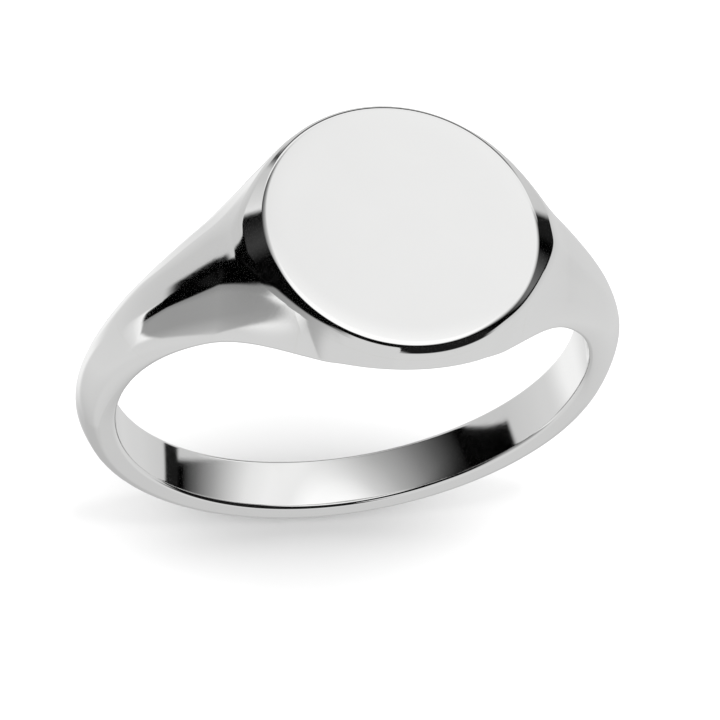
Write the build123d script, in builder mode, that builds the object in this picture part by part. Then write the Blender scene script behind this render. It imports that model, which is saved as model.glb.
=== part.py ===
"""Plain signet ring: flat round table on a solid head, tapering shoulders and a narrow D-section shank.

Frame: origin at the centre of the finger hole, +Y along the finger, +Z out through the table,
+X across the shoulders. Millimetres and degrees. Angles around the finger start at the top.
"""

import os
from math import cos, radians, sin, sqrt, tan

from build123d import *

os.makedirs("parts", exist_ok=True)

# Driving dimensions
finger_diameter = 17.35  # US size 7
band_radius = 10.05  # outside of the shank
band_half_width = 1.05
table_height = 9.9  # from the finger hole's centre
table_flat_radius = 4.8
bevel_angle = 37  # of the bevel turned round the flat
head_radius = 5.0  # the head's wall at the table
head_draft = 12  # the wall leans out towards the finger
crest_bow_radius = 28.05  # a shoulder's crest is a long arc that meets the band's circle at a tangent
crest_tangent_angle = 57
foot_flare = 2.75  # what a shoulder adds to the band's half width at the flare's start
foot_flare_power = 2.2
ridge_flare = 0.91  # the same for the ridges beside the crest
ridge_flare_power = 2.14
flare_start = 24
flare_end = 100

# The section: upright sides above the finger hole, leaning sides, and a ridge either side of the crest.
# It is slim where the flare ends and fills out towards the bottom of the shank.
lip_height_at_table = 0.3  # of the upright side, where the flare starts
lip_height_slim = 0.75
lip_height_full = 1.1
lip_rounding_at_table = 0.8
lip_rounding_full = 0.25
ridge_half_width_slim = 0.52  # from the middle of the crest to a ridge
ridge_half_width_full = 0.85
ridge_drop = 0.15  # how far a ridge of the shank lies below the crest
ridge_rounding = 0.35
ridge_rounding_flare = 1.5  # the ridges get softer towards the table
ridge_rounding_flare_power = 4.4
crown_share = 0.6  # share of the shank's crest that is rounded, not flat
crown_share_flat = 0.3
flattening = 0.7  # share of its crown that the crest loses along the shoulders
flattening_start = 70
flattening_end = 50
filling_start = 66
filling_end = 120
section_angles = [20, 25, 30, 36, 42, 48, 54, 61, 69, 78, 88, 98, 109, 120]

# Where the pieces are soldered together
table_thickness = 0.6
head_joint_x = 4.0
shank_joint_angle = 66
solder = 0.06

bore_radius = finger_diameter / 2
section_depth = 0.5  # how far the sections run into the finger hole before it is bored
reach = 30  # longer than the ring in any direction

bow_offset = crest_bow_radius - band_radius  # of the crest arc's centre, beyond the finger's axis


def crest_radius(angle):
    """Distance from the finger's axis to the crest."""
    turn = radians(max(crest_tangent_angle - angle, 0))
    return sqrt(crest_bow_radius**2 - (bow_offset * sin(turn)) ** 2) - bow_offset * cos(turn)


def flare(angle, amount, power):
    """What a shoulder adds to a half width of the band, fading out along the shoulder."""
    return amount * (max(flare_end - angle, 0) / (flare_end - flare_start)) ** power


def share(angle, start, end):
    """0 up to the start angle, 1 from the end angle, and even between."""
    return min(max((angle - start) / (end - start), 0), 1)


def radial_plane(angle):
    """The plane of a section: its x runs along the finger, its y away from the finger's axis."""
    return Plane(origin=(0, 0, 0), x_dir=(0, 1, 0), z_dir=(cos(radians(angle)), 0, -sin(radians(angle))))


def ring_section(angle):
    """The section at an angle: upright lips, leaning sides and a crowned crest between two ridges."""
    along = share(angle, flare_start, flare_end)
    filling = share(angle, filling_start, filling_end)
    filling = filling * filling * (3 - 2 * filling)
    foot = band_half_width + flare(angle, foot_flare, foot_flare_power)
    ridge = ridge_half_width_slim + flare(angle, ridge_flare, ridge_flare_power)
    ridge += (ridge_half_width_full - ridge_half_width_slim) * filling
    crest = crest_radius(angle)
    lip = bore_radius + lip_height_at_table + (lip_height_slim - lip_height_at_table) * along
    lip += (lip_height_full - lip_height_slim) * filling
    lip_rounding = lip_rounding_at_table + (lip_rounding_full - lip_rounding_at_table) * along
    rounding = ridge_rounding + flare(angle, ridge_rounding_flare, ridge_rounding_flare_power)

    # Where the crest is flatter, a ridge lies higher up the same leaning side
    flatness = share(angle, flattening_start, flattening_end)
    raised = ridge_drop * flattening * flatness
    ridge -= raised * (foot - ridge) / (crest - ridge_drop - lip)
    drop = ridge_drop - raised
    crown_rounding = (crown_share + (crown_share_flat - crown_share) * flatness) * ridge * ridge / drop
    outline = [
        (foot, bore_radius - section_depth),
        (foot, lip),
        (ridge, crest - drop),
        (0, crest),
        (-ridge, crest - drop),
        (-foot, lip),
        (-foot, bore_radius - section_depth),
    ]
    roundings = [0, lip_rounding, rounding, crown_rounding, rounding, lip_rounding, 0]
    with BuildSketch(radial_plane(angle)) as section:
        with BuildLine():
            FilletPolyline(*outline, radius=roundings, close=True)
        make_face()
    return section.sketch


# The ring's whole form, before it is divided into its pieces
with BuildPart() as right_form:
    loft(sections=[ring_section(angle) for angle in section_angles])

with BuildPart() as shank_form:
    add(ring_section(filling_end))
    revolve(axis=Axis.Y, revolution_arc=2 * (180 - filling_end))

with BuildPart() as ring_form:
    with BuildSketch(Plane.XY.offset(table_height)):
        Circle(head_radius)
    extrude(amount=-table_height, taper=-head_draft)
    add(right_form.part)
    mirror(right_form.part, about=Plane.YZ)
    add(shank_form.part)

    # The finger hole
    with BuildSketch(Plane.XZ):
        Circle(bore_radius)
    extrude(amount=reach, both=True, mode=Mode.SUBTRACT)

    # The table, turned flat with a bevel round it
    with BuildSketch(Plane.XZ):
        with BuildLine():
            bevel = PolarLine((table_flat_radius, table_height), reach, -bevel_angle)
            Polyline(bevel @ 1, (reach, reach), (0, reach), (0, table_height), bevel @ 0)
        make_face()
    revolve(axis=Axis.Z, mode=Mode.SUBTRACT)


def piece_between(zone):
    """The part of the ring's form inside an outline in the plane across the finger."""
    with BuildPart() as piece:
        add(ring_form.part)
        with BuildSketch(Plane.XZ):
            with BuildLine():
                Polyline(*zone, close=True)
            make_face()
        extrude(amount=reach, both=True, mode=Mode.INTERSECT)
    return piece.part


table_joint = table_height - table_thickness
head_top = table_joint - solder
shoulder_start_x = head_joint_x + solder
joint_slope = tan(radians(90 - shank_joint_angle))
joint_shift = solder / sin(radians(shank_joint_angle))  # the solder's height along z

# The table, a flat disc soldered on top of the head and the shoulders' ends
with BuildPart() as face_plate:
    add(piece_between([(-reach, table_joint), (reach, table_joint), (reach, reach), (-reach, reach)]))

with BuildPart() as face_solder:
    add(piece_between([(-reach, head_top), (reach, head_top), (reach, table_joint), (-reach, table_joint)]))

# The head, a solid block between the table and the finger
with BuildPart() as head:
    right_side = [(head_joint_x, 0), (head_joint_x, head_top)]
    left_side = [(-head_joint_x, head_top), (-head_joint_x, 0)]
    add(piece_between(right_side + left_side))

with BuildPart() as right_head_solder:
    joint_outline = [
        (head_joint_x, 0),
        (shoulder_start_x, 0),
        (shoulder_start_x, head_top),
        (head_joint_x, head_top),
    ]
    add(piece_between(joint_outline))

with BuildPart() as left_head_solder:
    mirror(right_head_solder.part, about=Plane.YZ)

# The shoulders, filed flat where they meet the head and cut square to the shank
with BuildPart() as right_shoulder:
    inner_corner = (shoulder_start_x, shoulder_start_x * joint_slope)
    outer_corner = (head_top / joint_slope, head_top)
    add(piece_between([inner_corner, outer_corner, (shoulder_start_x, head_top)]))

with BuildPart() as left_shoulder:
    mirror(right_shoulder.part, about=Plane.YZ)

with BuildPart() as right_shank_solder:
    outer_height = reach * joint_slope
    outer_side = [(reach, outer_height), (reach, outer_height - joint_shift)]
    add(piece_between([(0, 0)] + outer_side + [(0, -joint_shift)]))

with BuildPart() as left_shank_solder:
    mirror(right_shank_solder.part, about=Plane.YZ)

# The shank, one bent length of D-section bar
with BuildPart() as shank:
    side_height = reach * joint_slope - joint_shift
    right_end = [(0, -joint_shift), (reach, side_height), (reach, -reach)]
    left_end = [(-reach, -reach), (-reach, side_height)]
    add(piece_between(right_end + left_end))

pieces = {
    "face_plate": face_plate,
    "face_solder": face_solder,
    "head": head,
    "left_head_solder": left_head_solder,
    "right_head_solder": right_head_solder,
    "left_shoulder": left_shoulder,
    "right_shoulder": right_shoulder,
    "left_shank_solder": left_shank_solder,
    "right_shank_solder": right_shank_solder,
    "shank": shank,
}
for name, piece in pieces.items():
    piece.part.label = name
    export_step(piece.part, f"parts/{name}.step")
    print(name, round(piece.part.volume, 3), "mm3", piece.part.is_valid)
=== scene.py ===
import math

import bmesh
import bpy
import numpy as np
from mathutils import Matrix, Vector


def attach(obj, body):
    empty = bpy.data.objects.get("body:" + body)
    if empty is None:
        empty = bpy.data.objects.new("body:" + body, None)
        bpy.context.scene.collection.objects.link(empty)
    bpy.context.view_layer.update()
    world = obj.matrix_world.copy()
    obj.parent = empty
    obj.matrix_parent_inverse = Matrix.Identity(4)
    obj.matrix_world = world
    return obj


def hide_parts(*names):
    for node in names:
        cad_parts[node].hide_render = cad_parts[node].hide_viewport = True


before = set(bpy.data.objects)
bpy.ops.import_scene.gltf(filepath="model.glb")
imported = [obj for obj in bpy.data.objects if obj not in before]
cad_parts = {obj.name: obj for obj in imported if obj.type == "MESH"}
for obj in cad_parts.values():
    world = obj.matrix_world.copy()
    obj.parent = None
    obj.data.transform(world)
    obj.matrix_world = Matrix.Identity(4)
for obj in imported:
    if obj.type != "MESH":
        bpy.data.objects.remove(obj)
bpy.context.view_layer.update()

MM = 0.001

# ---------------------------------------------------------------- the ring's form

BORE = 8.675  # radius of the finger hole
COMFORT = 0.03  # how much the hole's radius grows towards its two edges
COMFORT_END = 1.2  # the growth stops here, as a share of the way from the middle to an edge
BAND = 10.05  # outer radius of the shank
BAND_HALF_WIDTH = 1.05
BOW_OFFSET = 18.0  # the shoulders' crest is a long arc, centred this far beyond the finger's axis
BOW_END = 57.0  # angle where that arc runs into the band's circle
TABLE = 9.9  # height of the flat
TABLE_FLAT = 4.8  # its radius
TABLE_SOFT_START = 3.8  # polishing has rounded the flat a little from here out
TABLE_SOFTNESS = 0.017
TABLE_SOFT_WIDTH = 1.2
BEVEL = math.radians(37)
BEVEL_ROUNDING = 0.05
RIM_ROUNDING = 0.12
HEAD = 5.0  # radius of the head's wall at the table
HEAD_DRAFT = math.radians(12)
HEAD_BOTTOM = 5.0  # height of the head's underside before the finger hole is bored through it
FOOT_FLARE, FOOT_POWER = 2.75, 2.2  # what the shoulders add to the band's half width
RIDGE_FLARE, RIDGE_POWER = 0.91, 2.14  # and to the half width between the ridges
FLARE_START, FLARE_END = 24.0, 100.0
FLARE_TOP = 1.08  # the flare levels out smoothly where the shoulders are inside the head
FLARE_SMOOTHING = 0.06
LIP_TABLE, LIP_SLIM, LIP_FULL = 0.3, 0.75, 1.12  # height of the upright side over the finger hole
LIP_ROUNDING_TABLE, LIP_ROUNDING_SHANK = 0.9, 0.35
RIDGE_SLIM, RIDGE_FULL = 0.52, 0.85  # half width between the two ridges beside the crest
FILL_START, FILL_END = 66.0, 120.0  # the slim section fills out between these angles
RIDGE_DROP = 0.15  # how far a ridge of the shank lies below the crest
CROWN_FLAT = 0.35  # share of its crown that the crest keeps along the shoulders
FLAT_START, FLAT_END = 70.0, 50.0
RIDGE_ROUNDING = 0.1  # sharpest on the shoulders, and softer towards the table and the shank
RIDGE_ROUNDING_TABLE, RIDGE_ROUNDING_SHANK = 0.42, 0.33
SOFT_TABLE_START, SOFT_TABLE_END = 52.0, 20.0
SOFT_SHANK_START, SOFT_SHANK_END = 56.0, 90.0
HEAD_FILLET = 1.0  # where the shoulders run into the head
BORE_EDGE_ROUNDING = 0.15

# Where the pieces are soldered together
TABLE_JOINT = 9.3
SOLDER = 0.06
HEAD_TOP = TABLE_JOINT - SOLDER
HEAD_JOINT = 4.0
SHOULDER_START = HEAD_JOINT + SOLDER
SHANK_JOINT = math.radians(66)


def rounded_corner(a, b, radius):
    """Inside both forms, with the edge between them rounded."""
    rounding = np.hypot(np.maximum(a + radius, 0), np.maximum(b + radius, 0))
    return np.minimum(-radius, np.maximum(a, b)) + rounding


def filleted_join(a, b, radius):
    """Inside either form, with a fillet in the corner between them."""
    fillet = np.hypot(np.maximum(radius - a, 0), np.maximum(radius - b, 0))
    return np.maximum(radius, np.minimum(a, b)) - fillet


def share(value, start, end):
    """0 up to the start, 1 from the end, and even between."""
    return np.clip((value - start) / (end - start), 0, 1)


def smooth_share(value, start, end):
    """The same with a soft start and end."""
    even_share = share(value, start, end)
    return even_share * even_share * (3 - 2 * even_share)


def bow_turn(angle):
    """How far an angle is from where the crest's arc meets the band, in radians."""
    return np.radians(np.clip(BOW_END - angle, 0, 90))


def section_sizes(angle):
    """Half width at the foot, half width at the ridges, crest radius, lip radius and lip rounding."""
    flare = np.clip((FLARE_END - angle) / (FLARE_END - FLARE_START), 0, FLARE_TOP)
    near_top = np.clip(flare - FLARE_TOP + FLARE_SMOOTHING, 0, FLARE_SMOOTHING)
    flare = flare - near_top**2 / (2 * FLARE_SMOOTHING)
    along = share(angle, FLARE_START, FLARE_END)
    fill = smooth_share(angle, FILL_START, FILL_END)
    foot = BAND_HALF_WIDTH + FOOT_FLARE * flare**FOOT_POWER
    ridge = RIDGE_SLIM + (RIDGE_FULL - RIDGE_SLIM) * fill + RIDGE_FLARE * flare**RIDGE_POWER
    turn = bow_turn(angle)
    bow = BOW_OFFSET + BAND
    crest = np.sqrt(bow**2 - (BOW_OFFSET * np.sin(turn)) ** 2) - BOW_OFFSET * np.cos(turn)
    lip = BORE + LIP_TABLE + (LIP_SLIM - LIP_TABLE) * along + (LIP_FULL - LIP_SLIM) * fill
    lip_rounding = LIP_ROUNDING_TABLE + (LIP_ROUNDING_SHANK - LIP_ROUNDING_TABLE) * along
    return foot, ridge, crest, lip, lip_rounding


def ridge_shape(angle):
    """The crown's drop at the ridges, and the ridges' rounding."""
    drop = RIDGE_DROP * (1 - (1 - CROWN_FLAT) * smooth_share(angle, FLAT_START, FLAT_END))
    table = share(angle, SOFT_TABLE_START, SOFT_TABLE_END)
    shank = smooth_share(angle, SOFT_SHANK_START, SOFT_SHANK_END)
    rounding = RIDGE_ROUNDING + (RIDGE_ROUNDING_TABLE - RIDGE_ROUNDING) * table
    return drop, rounding + (RIDGE_ROUNDING_SHANK - RIDGE_ROUNDING) * shank


def ring_form(p):
    """Below zero in the metal, zero on its surface and above zero outside. p is an array of points."""
    x, y, z = p[..., 0], p[..., 1], p[..., 2]
    radius = np.hypot(x, z)
    angle = np.degrees(np.abs(np.arctan2(x, z)))
    width = np.abs(y)
    foot, ridge, crest, lip, lip_rounding = section_sizes(angle)

    # The band with its shoulders: a crowned crest, leaning sides and upright lips
    to_bow_centre = radius**2 + 2 * BOW_OFFSET * radius * np.cos(bow_turn(angle)) + BOW_OFFSET**2
    bowed = np.sqrt(to_bow_centre) - (BOW_OFFSET + BAND)
    crown_drop, ridge_rounding = ridge_shape(angle)
    crown = np.where(angle < BOW_END, bowed, radius - BAND) + crown_drop * (width / ridge) ** 2
    rise = crest - RIDGE_DROP - lip
    lean = foot - ridge
    side = ((width - foot) * rise + (radius - lip) * lean) / np.hypot(rise, lean)
    band = rounded_corner(rounded_corner(crown, side, ridge_rounding), width - foot, lip_rounding)

    # The head, a round block whose wall leans out towards the finger
    out = np.hypot(x, y)
    wall = (out - HEAD - np.tan(HEAD_DRAFT) * (TABLE - z)) * np.cos(HEAD_DRAFT)
    body = filleted_join(band, np.maximum(wall, HEAD_BOTTOM - z), HEAD_FILLET)

    # The table with its bevel, and the finger hole
    flat = z - TABLE + TABLE_SOFTNESS * np.clip(out - TABLE_SOFT_START, 0, TABLE_SOFT_WIDTH) ** 3
    bevel = (z - TABLE) * np.cos(BEVEL) + (out - TABLE_FLAT) * np.sin(BEVEL)
    top = rounded_corner(flat, bevel, BEVEL_ROUNDING)
    ring = rounded_corner(top, body, RIM_ROUNDING)
    hole = BORE + COMFORT * np.clip(width / foot, 0, COMFORT_END) ** 2
    return rounded_corner(ring, hole - radius, BORE_EDGE_ROUNDING)


def outward(p):
    """Unit normals of the ring's surface."""
    step = 2e-4
    slope = np.stack([ring_form(p + step * axis) - ring_form(p - step * axis) for axis in np.eye(3)], -1)
    return slope / np.linalg.norm(slope, axis=-1, keepdims=True)


# ---------------------------------------------------------------- one fine skin over the whole ring

COARSE = 1.0

# Stretches of rows round the finger: start, end and step in degrees. The rows are closest where the head
# meets the shoulders, and none lies on the shank's joint
ROW_STEPS = [(0, 19, 0.4), (19, 37, 0.13), (37, 65.7, 0.5), (65.7, 66.9, 0.2), (66.9, 180, 1.2)]

# Points along each side of a section's box
POINTS_ACROSS = round(110 / COARSE)
POINTS_BESIDE_RIM = round(24 / COARSE)
POINTS_UP = round(44 / COARSE)
POINTS_UNDER = round(40 / COARSE)
RIM_OFFSET = 0.1  # from the flat's edge to the middle of the table's rim
RIM_REACH = 0.35  # the extra points lie this far either side of the rim
RIM_SHARE = 0.8  # of the way from the rim to the box's corner, at most
SHORT_OF_CORNER = 0.999
BOX_REACH = 1.6  # how far out the skin is looked for, as a share of a section's box
HALVINGS = 22
TABLE_END = 60  # no ray past this angle comes near the table


def even(start, end, step):
    """From start to end in even steps, without the end."""
    return np.linspace(start, end, max(2, round((end - start) / (step * COARSE)) + 1))[:-1]


def eased(count):
    """From -1 to 1, closer together at both ends, without the 1."""
    return -np.cos(np.linspace(0, math.pi, count + 1)[:-1])


def half_chord(circle, distance):
    """Half the length of a circle's chord at a distance from its middle, or 0 outside the circle."""
    return math.sqrt(max(circle**2 - distance**2, 0))


def section_box(angle):
    """Points on a box round the section at an angle, from the section's middle, and the middle's radius."""
    foot, _, crest, _, _ = section_sizes(abs(angle))
    turn = math.radians(min(abs(angle), TABLE_END))
    top = min(crest, TABLE / math.cos(turn))
    half_width = max(foot, half_chord(HEAD, TABLE_JOINT * math.tan(turn)))
    half_height = (top - BORE) / 2

    # Along the top, even points and closer ones where the rim crosses
    rim = half_chord(TABLE_FLAT + RIM_OFFSET, TABLE * math.tan(turn))
    rim_end = min(RIM_REACH, RIM_SHARE * (half_width - rim))
    right_rim = rim + np.linspace(-RIM_REACH, rim_end, POINTS_BESIDE_RIM)
    stagger = (right_rim[1] - right_rim[0]) / 2
    spread = np.linspace(-1, 1, POINTS_ACROSS) * half_width
    across = np.sort(np.concatenate([spread, right_rim - stagger, -right_rim]))
    across[-1] *= SHORT_OF_CORNER

    up = eased(POINTS_UP)
    under = eased(POINTS_UNDER)
    side = np.full(POINTS_UP, half_width)
    y = np.concatenate([across, side, -under * half_width, -side])
    height = np.concatenate([np.ones(len(across)), -up, -np.ones(POINTS_UNDER), up]) * half_height
    return y, height, BORE + half_height


def find_skin():
    """A grid of points on the ring's surface: one row for each angle round the finger."""
    half_turn = np.concatenate([even(*step) for step in ROW_STEPS])
    angles = np.concatenate([-half_turn[:0:-1], half_turn])
    boxes = [section_box(angle) for angle in angles]
    y = np.array([box[0] for box in boxes])
    height = np.array([box[1] for box in boxes])
    middle = np.array([box[2] for box in boxes])[:, None]
    turn = np.radians(angles)[:, None]

    def place(t):
        """Points at a share of the way from the sections' middles to their boxes."""
        radius = middle + height * t
        return np.stack([radius * np.sin(turn), y * t, radius * np.cos(turn)], -1)

    inside, outside = np.zeros_like(y), np.full_like(y, BOX_REACH)
    for _ in range(HALVINGS):
        half = (inside + outside) / 2
        metal = ring_form(place(half)) < 0
        inside = np.where(metal, half, inside)
        outside = np.where(metal, outside, half)
    return place((inside + outside) / 2)


skin = find_skin()
row_count, column_count = skin.shape[:2]
skin_points = skin.reshape(-1, 3)
row, column = np.meshgrid(np.arange(row_count), np.arange(column_count), indexing="ij")
next_row, next_column = (row + 1) % row_count, (column + 1) % column_count
face_corners = [(row, column), (row, next_column), (next_row, next_column), (next_row, column)]
skin_faces = np.stack([r * column_count + c for r, c in face_corners], -1).reshape(-1, 4)

# ---------------------------------------------------------------- the pieces, divided by planes
# A limit is a plane's outward normal and its distance from the origin. The piece lies behind the plane.

TOUCHING = 1e-6  # millimetres
CUT_TOLERANCE = 1e-7


def above(height):
    return (np.array([0, 0, -1.0]), -height)


def below(height):
    return (np.array([0, 0, 1.0]), height)


def beyond(side, distance):
    """Further out than a distance along +X or -X, where side is 1 or -1."""
    return (np.array([-side, 0, 0.0]), -distance)


def within(side, distance):
    return (np.array([side, 0, 0.0]), distance)


def before_joint(side, gap):
    """Nearer the table than the shank's joint. gap moves the plane on, towards the shank."""
    return (np.array([side * math.cos(SHANK_JOINT), 0, -math.sin(SHANK_JOINT)]), gap)


def past_joint(side, gap):
    """The other side of that plane."""
    normal, distance = before_joint(side, gap)
    return (-normal, -distance)


def reaching(limits):
    """The skin's faces that reach behind each limit. A limit comes with its side: 1, -1, or 0 for both."""
    keep = np.ones(len(skin_faces), bool)
    corners = skin_points[skin_faces]
    for side, (normal, distance) in limits:
        on_side = (corners[..., 0] * side > 0).any(1) | (side == 0)
        keep &= ~on_side | (corners @ normal < distance + TOUCHING).any(1)
    return skin_faces[keep]


def divide(mesh, limits):
    """Cut a mesh at the limits, and close it with flat joint faces."""
    bm = bmesh.new()
    bm.from_mesh(mesh)
    for face in bm.faces:
        face.smooth = True
    for side, (normal, distance) in limits:
        chosen = [f for f in bm.faces if side == 0 or f.calc_center_median().x * side > 0]
        parts = {v for f in chosen for v in f.verts} | {e for f in chosen for e in f.edges} | set(chosen)
        cut = bmesh.ops.bisect_plane(
            bm,
            geom=list(parts),
            dist=CUT_TOLERANCE,
            plane_co=Vector(normal * distance),
            plane_no=Vector(normal),
            clear_outer=True,
        )
        edges = [g for g in cut["geom_cut"] if isinstance(g, bmesh.types.BMEdge) and g.is_boundary]
        filled = bmesh.ops.contextual_create(bm, geom=edges) if edges else {"faces": []}
        for face in filled["faces"]:
            face.smooth = False
    bmesh.ops.recalc_face_normals(bm, faces=bm.faces)
    bm.to_mesh(mesh)
    bm.free()


def read_all(items, name, kind, width=1):
    """One property of all of a mesh's items, as an array."""
    values = np.empty(len(items) * width, kind)
    items.foreach_get(name, values)
    return values


def finish_mesh(mesh):
    """Scale to metres, and give the skin the form's own normals, so that no seam shows between pieces."""
    points = read_all(mesh.vertices, "co", float, 3).reshape(-1, 3)
    corner_vertex = read_all(mesh.loops, "vertex_index", int)
    smooth = read_all(mesh.polygons, "use_smooth", bool)
    corner_count = read_all(mesh.polygons, "loop_total", int)
    # A normal of zero leaves a joint's corner flat
    corner_normals = outward(points)[corner_vertex] * np.repeat(smooth, corner_count)[:, None]
    mesh.vertices.foreach_set("co", (points * MM).ravel())
    mesh.update()
    mesh.normals_split_custom_set(corner_normals.tolist())


def make_piece(name, material, limits, ends=()):
    """A closed piece of the ring inside the limits. ends are limits that hold on one side only."""
    limits = [(0, limit) for limit in limits] + list(ends)
    used, index = np.unique(reaching(limits), return_inverse=True)
    mesh = bpy.data.meshes.new(f"polished_{name}")
    mesh.from_pydata(skin_points[used].tolist(), [], index.reshape(-1, 4).tolist())
    divide(mesh, limits)
    finish_mesh(mesh)
    mesh.materials.append(material)
    piece = bpy.data.objects.new(f"polished_{name}", mesh)
    bpy.context.scene.collection.objects.link(piece)
    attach(piece, "root")
    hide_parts(name)


# ---------------------------------------------------------------- materials


def node(tree, kind, **values):
    """A new node with values for its inputs."""
    made = tree.nodes.new(kind)
    for key, value in values.items():
        made.inputs[key].default_value = value
    return made


def polished_metal(name, colour, warm_colour):
    """Mirror polish with what polishing leaves: a cloudy tone, fine scratches and a soft ripple."""
    material = bpy.data.materials.new(name)
    material.use_nodes = True
    tree = material.node_tree
    tree.nodes.clear()
    output = tree.nodes.new("ShaderNodeOutputMaterial")
    metal = node(tree, "ShaderNodeBsdfPrincipled", Metallic=1.0)
    tree.links.new(metal.outputs[0], output.inputs[0])
    place = tree.nodes.new("ShaderNodeTexCoord")

    cloud = node(tree, "ShaderNodeTexNoise", Scale=420.0, Detail=3.0, Roughness=0.55)
    tree.links.new(place.outputs["Object"], cloud.inputs["Vector"])
    tone = tree.nodes.new("ShaderNodeMix")
    tone.data_type = "RGBA"
    tone.inputs["A"].default_value = colour
    tone.inputs["B"].default_value = warm_colour
    tree.links.new(cloud.outputs["Fac"], tone.inputs["Factor"])
    tree.links.new(tone.outputs["Result"], metal.inputs["Base Color"])

    # Buffing scratches run mostly one way: the noise is drawn out along a slanted line
    drawn_out = node(tree, "ShaderNodeMapping", Scale=(900.0, 14000.0, 5000.0), Rotation=(0.3, 0.2, 0.7))
    tree.links.new(place.outputs["Object"], drawn_out.inputs["Vector"])
    scratches = node(tree, "ShaderNodeTexNoise", Scale=1.0, Detail=4.0, Roughness=0.6)
    tree.links.new(drawn_out.outputs[0], scratches.inputs["Vector"])
    haze_range = {"From Min": 0.35, "From Max": 0.75, "To Min": 0.045, "To Max": 0.085}
    haze = node(tree, "ShaderNodeMapRange", **haze_range)
    tree.links.new(scratches.outputs["Fac"], haze.inputs["Value"])
    tree.links.new(haze.outputs[0], metal.inputs["Roughness"])

    ripple = node(tree, "ShaderNodeTexNoise", Scale=260.0, Detail=2.0, Roughness=0.4)
    tree.links.new(place.outputs["Object"], ripple.inputs["Vector"])
    soft_bump = node(tree, "ShaderNodeBump", Strength=0.03, Distance=0.0001)
    tree.links.new(ripple.outputs["Fac"], soft_bump.inputs["Height"])
    fine_bump = node(tree, "ShaderNodeBump", Strength=0.02, Distance=0.00001)
    tree.links.new(scratches.outputs["Fac"], fine_bump.inputs["Height"])
    tree.links.new(soft_bump.outputs[0], fine_bump.inputs["Normal"])
    tree.links.new(fine_bump.outputs[0], metal.inputs["Normal"])
    return material


silver = polished_metal("polished_silver", (0.94, 0.94, 0.935, 1), (0.91, 0.91, 0.905, 1))
solder = polished_metal("polished_silver_solder", (0.93, 0.93, 0.92, 1), (0.9, 0.9, 0.89, 1))

make_piece("face_plate", silver, [above(TABLE_JOINT)])
make_piece("face_solder", solder, [below(TABLE_JOINT), above(HEAD_TOP)])
head_height = [below(HEAD_TOP), above(HEAD_BOTTOM)]
make_piece("head", silver, head_height + [within(1, HEAD_JOINT), within(-1, HEAD_JOINT)])
for label, side in (("right", 1), ("left", -1)):
    beside_head = [beyond(side, HEAD_JOINT), within(side, SHOULDER_START)]
    make_piece(f"{label}_head_solder", solder, head_height + beside_head)
    along_shoulder = [below(HEAD_TOP), beyond(side, SHOULDER_START), before_joint(side, 0)]
    make_piece(f"{label}_shoulder", silver, along_shoulder)
    at_joint = [beyond(side, HEAD_JOINT), past_joint(side, 0), before_joint(side, SOLDER)]
    make_piece(f"{label}_shank_solder", solder, at_joint)
shank_ends = [(side, past_joint(side, SOLDER)) for side in (1, -1)]
make_piece("shank", silver, [below(HEAD_BOTTOM)], ends=shank_ends)

# ---------------------------------------------------------------- floor, light and camera

FLOOR_REACH = 3.0
floor_z = -BAND * MM
floor_signs = [(-1, -1), (1, -1), (1, 1), (-1, 1)]
floor_corners = [(x * FLOOR_REACH, y * FLOOR_REACH, floor_z) for x, y in floor_signs]
floor_mesh = bpy.data.meshes.new("floor")
floor_mesh.from_pydata(floor_corners, [], [(0, 1, 2, 3)])
floor = bpy.data.objects.new("floor", floor_mesh)
bpy.context.scene.collection.objects.link(floor)
floor.visible_glossy = False
paper = bpy.data.materials.new("white_paper")
paper.use_nodes = True
paper_inputs = paper.node_tree.nodes["Principled BSDF"].inputs
paper_inputs["Base Color"].default_value = (0.8, 0.8, 0.8, 1)
paper_inputs["Roughness"].default_value = 0.9
paper_inputs["Specular IOR Level"].default_value = 0.0
floor_mesh.materials.append(paper)

overhead = bpy.data.lights.new("overhead_softbox", "AREA")
overhead.shape = "DISK"
overhead.size = 0.06
overhead.energy = 0.13
overhead_object = bpy.data.objects.new("overhead_softbox", overhead)
bpy.context.scene.collection.objects.link(overhead_object)
overhead_object.location = (0.0, 0.0, 0.15)
overhead_object.visible_glossy = False

# The studio that the silver mirrors: softboxes above, dark flags round the horizon and pale table below.
# Azimuth 0 is +Y, behind the ring; 90 is +X, its right; elevation is above the horizon. Degrees.
DEGREES = 180 / math.pi
BLACK = 0.01  # of the dark cards
world = bpy.data.worlds.new("studio")
bpy.context.scene.world = world
world.use_nodes = True
studio_tree = world.node_tree
studio_tree.nodes.clear()


def calc(operation, first, second=None):
    """A math node's result. first and second are numbers or other nodes' results."""
    made = studio_tree.nodes.new("ShaderNodeMath")
    made.operation = operation
    for socket, value in zip(made.inputs, (first, second)):
        if isinstance(value, bpy.types.NodeSocket):
            studio_tree.links.new(value, socket)
        elif value is not None:
            socket.default_value = value
    return made.outputs[0]


def map_range(value, low, high):
    """A node for the share of the way that a value is from low to high."""
    made = node(studio_tree, "ShaderNodeMapRange", **{"From Min": low, "From Max": high})
    studio_tree.links.new(value, made.inputs["Value"])
    return made


def ramp(value, stops):
    """Brightness in straight steps through (value, brightness) stops."""
    low, high = stops[0][0], stops[-1][0]
    made = studio_tree.nodes.new("ShaderNodeValToRGB")
    elements = made.color_ramp.elements
    while len(elements) < len(stops):
        elements.new(0.5)
    for element, (at, shade) in zip(elements, stops):
        element.position = (at - low) / (high - low)
        element.color = (shade, shade, shade, 1)
    studio_tree.links.new(map_range(value, low, high).outputs[0], made.inputs[0])
    return made.outputs[0]


def rising(value, at, softness):
    """0 below at, 1 above it, with a smooth edge."""
    made = map_range(value, at - softness, at + softness)
    made.interpolation_type = "SMOOTHSTEP"
    return made.outputs[0]


def falling(value, at, softness):
    """1 below at, 0 above it."""
    return calc("SUBTRACT", 1.0, rising(value, at, softness))


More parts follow.
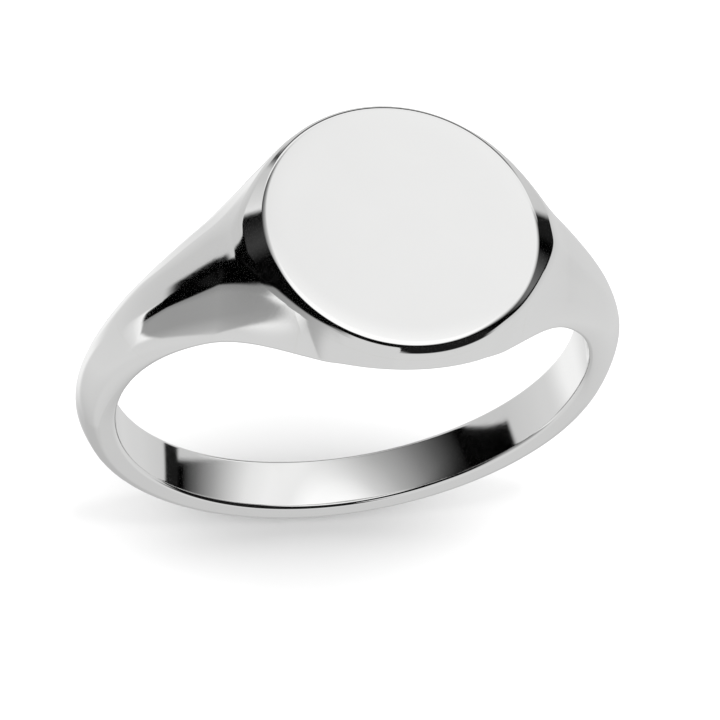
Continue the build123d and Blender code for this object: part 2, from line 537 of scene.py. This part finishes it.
def both(first, second):
    return calc("MULTIPLY", first, second)


def between(value, low, high, softness):
    return both(rising(value, low, softness), falling(value, high, softness))


def window(azimuths, elevations, softness):
    """A panel between two azimuths and two elevations. softness is that of its sides and of its ends."""
    sides, ends = softness
    return both(between(azimuth, *azimuths, sides), between(elevation, *elevations, ends))


def blend(mask, under, over):
    """over where mask is 1, under where it is 0."""
    made = studio_tree.nodes.new("ShaderNodeMix")
    made.data_type = "FLOAT"
    studio_tree.links.new(mask, made.inputs["Factor"])
    for name, value in (("A", under), ("B", over)):
        if isinstance(value, bpy.types.NodeSocket):
            studio_tree.links.new(value, made.inputs[name])
        else:
            made.inputs[name].default_value = value
    return made.outputs["Result"]


coordinates = studio_tree.nodes.new("ShaderNodeTexCoord")
direction = studio_tree.nodes.new("ShaderNodeSeparateXYZ")
studio_tree.links.new(coordinates.outputs["Generated"], direction.inputs[0])
direction_x, direction_y, direction_z = direction.outputs
azimuth = calc("MULTIPLY", calc("ARCTAN2", direction_x, direction_y), DEGREES)
elevation = calc("MULTIPLY", calc("ARCSINE", direction_z), DEGREES)

# Sky: a big softbox overhead that fades down towards the sides. It ends higher on the left and in front
sky_left = ramp(elevation, [(22, 0), (28, 0.04), (34, 0.1), (41, 0.2), (53, 0.43), (61, 0.66), (68, 1.05)])
low_right_stops = [(4, 0), (12, 0.13), (21, 0.34), (29, 0.58)]
sky_right = ramp(elevation, low_right_stops + [(38, 0.83), (47, 0.92), (57, 0.89), (64, 1.08)])
sky_front = ramp(elevation, [(49, 0), (55, 0.3), (59, 0.9), (64, 1.08)])
sky_left = blend(falling(azimuth, -64, 7), sky_left, sky_front)
sky = blend(rising(direction_x, 0.0, 0.3), sky_left, sky_right)
sky = blend(falling(direction_y, -0.05, 0.25), sky, sky_front)

# The pale wall behind the ring. Its sides lean in as they rise, and its top slants up to the right
WALL_LEFT, WALL_LEFT_FOOT, WALL_LEFT_LEAN = -61.1, -2.0, 0.016
WALL_RIGHT, WALL_RIGHT_FOOT, WALL_RIGHT_LEAN = 60.8, -4.0, 0.0088
WALL_TOP, WALL_TOP_SLANT = 39.8, 0.42
LEAN_END = 49.0  # the right side is straight from this far above its foot
climb_left = calc("MAXIMUM", calc("SUBTRACT", elevation, WALL_LEFT_FOOT), 0.0)
lean_left = calc("MULTIPLY", both(climb_left, climb_left), WALL_LEFT_LEAN)
past_left = calc("SUBTRACT", calc("SUBTRACT", azimuth, WALL_LEFT), lean_left)
climb_right = calc("MAXIMUM", calc("SUBTRACT", elevation, WALL_RIGHT_FOOT), 0.0)
climb_right = calc("MINIMUM", climb_right, LEAN_END)
lean_right = calc("MULTIPLY", both(climb_right, climb_right), WALL_RIGHT_LEAN)
past_right = calc("ADD", calc("SUBTRACT", azimuth, WALL_RIGHT), lean_right)
wall_sides = both(rising(past_left, 0.0, 0.8), falling(past_right, 0.0, 0.8))
wall_height = calc("SUBTRACT", elevation, calc("MULTIPLY", azimuth, WALL_TOP_SLANT))
wall_ends = both(falling(wall_height, WALL_TOP, 1.5), falling(elevation, 44, 8))
wall_shade = ramp(elevation, [(-4, 0.6), (12, 0.6), (18, 0.72), (23, 0.95), (46, 0.8)])
studio = blend(both(wall_sides, wall_ends), sky, wall_shade)
studio = blend(window((-22, 44), (3, 20), (4, 3)), studio, BLACK)

# The pale table below the horizon, brightest where it mirrors the softbox. A dark strip lies on its right
TABLE_HORIZON = -3.5
ground = ramp(elevation, [(-85, 0.5), (-68, 0.52), (-58, 0.63), (-45, 0.7), (-25, 0.68), (-4, 0.6)])
ground = blend(window((-60, 8), (-62, -38), (12, 9)), ground, 0.95)
studio = blend(falling(elevation, TABLE_HORIZON, 1.5), studio, ground)
studio = blend(window((57, 80), (-7.5, 1.0), (1.5, 1.2)), studio, BLACK)

# Left flag: black towards the back, with a sharp edge to a gray panel in front. Its lower edge slants
# down and steepens forwards, and the table glows under it
FLAG_BACK, FLAG_SLANT, FLAG_STEEPENING = -61.0, 0.28, 0.0022
PANEL_EDGE = -99
FLAG_FRONT = -143
forward = calc("MAXIMUM", calc("SUBTRACT", FLAG_BACK, azimuth), 0.0)
slant = calc("ADD", calc("MULTIPLY", forward, FLAG_STEEPENING), FLAG_SLANT)
lower_edge = calc("ADD", elevation, both(forward, slant))
glow = both(ramp(lower_edge, [(-13, 0), (-7, 0.35), (-2, 0.95), (0, 1)]), falling(elevation, 3, 5))
glow_sides = both(falling(azimuth, -76, 8), rising(azimuth, -122, 5))
studio = blend(both(glow, glow_sides), studio, 0.98)
panel = ramp(azimuth, [(-150, 0.7), (-132, 0.44), (-120, 0.36), (-108, 0.32), (PANEL_EDGE, 0.25)])
flag_shade = both(panel, falling(azimuth, PANEL_EDGE, 1.5))
flag_sides = both(rising(azimuth, FLAG_FRONT, 9), falling(past_left, 0.0, 0.8))
flag_ends = both(rising(lower_edge, 0.0, 1.2), falling(elevation, 10, 6))
studio = blend(both(flag_sides, flag_ends), studio, flag_shade)

# Front left: a pale wall below the dark. Front right: the dark side of the studio
pale_ends = both(rising(elevation, -60, 6), falling(elevation, 21, 2))
studio = blend(both(falling(azimuth, FLAG_FRONT, 9), pale_ends), studio, 0.68)
studio = blend(window((122, 179), (-18, 36), (6, 5)), studio, BLACK)

# What the camera sees past the floor is plain white, which also lights the floor evenly
path = studio_tree.nodes.new("ShaderNodeLightPath")
plain = node(studio_tree, "ShaderNodeBackground", Color=(1, 1, 1, 1), Strength=1.35)
mirrored = studio_tree.nodes.new("ShaderNodeBackground")
studio_tree.links.new(studio, mirrored.inputs["Color"])
choose = studio_tree.nodes.new("ShaderNodeMixShader")
world_output = studio_tree.nodes.new("ShaderNodeOutputWorld")
studio_tree.links.new(path.outputs["Is Glossy Ray"], choose.inputs[0])
studio_tree.links.new(plain.outputs[0], choose.inputs[1])
studio_tree.links.new(mirrored.outputs[0], choose.inputs[2])
studio_tree.links.new(choose.outputs[0], world_output.inputs[0])

# The camera looks down on the table from the front left, turned a little on its own axis
CAMERA_AZIMUTH = math.radians(-26.36)
CAMERA_ELEVATION = math.radians(57.33)
CAMERA_ROLL = math.radians(20.05)
CAMERA_DISTANCE = 0.15
aside = math.cos(CAMERA_ELEVATION)
back = Vector(
    (math.sin(CAMERA_AZIMUTH) * aside, -math.cos(CAMERA_AZIMUTH) * aside, math.sin(CAMERA_ELEVATION))
)
level = Vector((0, 0, 1)).cross(back).normalized()
right = level * math.cos(CAMERA_ROLL) + back.cross(level) * math.sin(CAMERA_ROLL)
turned = Matrix((right, back.cross(right), back)).transposed().to_4x4()
camera = bpy.data.cameras.new("camera")
camera.sensor_width = 36
camera.lens = 205.1
camera.shift_x = 0.0157
camera.shift_y = 0.0119
camera.clip_start, camera.clip_end = 0.01, 20
camera_object = bpy.data.objects.new("camera", camera)
bpy.context.scene.collection.objects.link(camera_object)
camera_object.matrix_world = Matrix.Translation(back * CAMERA_DISTANCE) @ turned
bpy.context.scene.camera = camera_object
bpy.context.scene.view_settings.view_transform = "Standard"

bpy.context.view_layer.update()
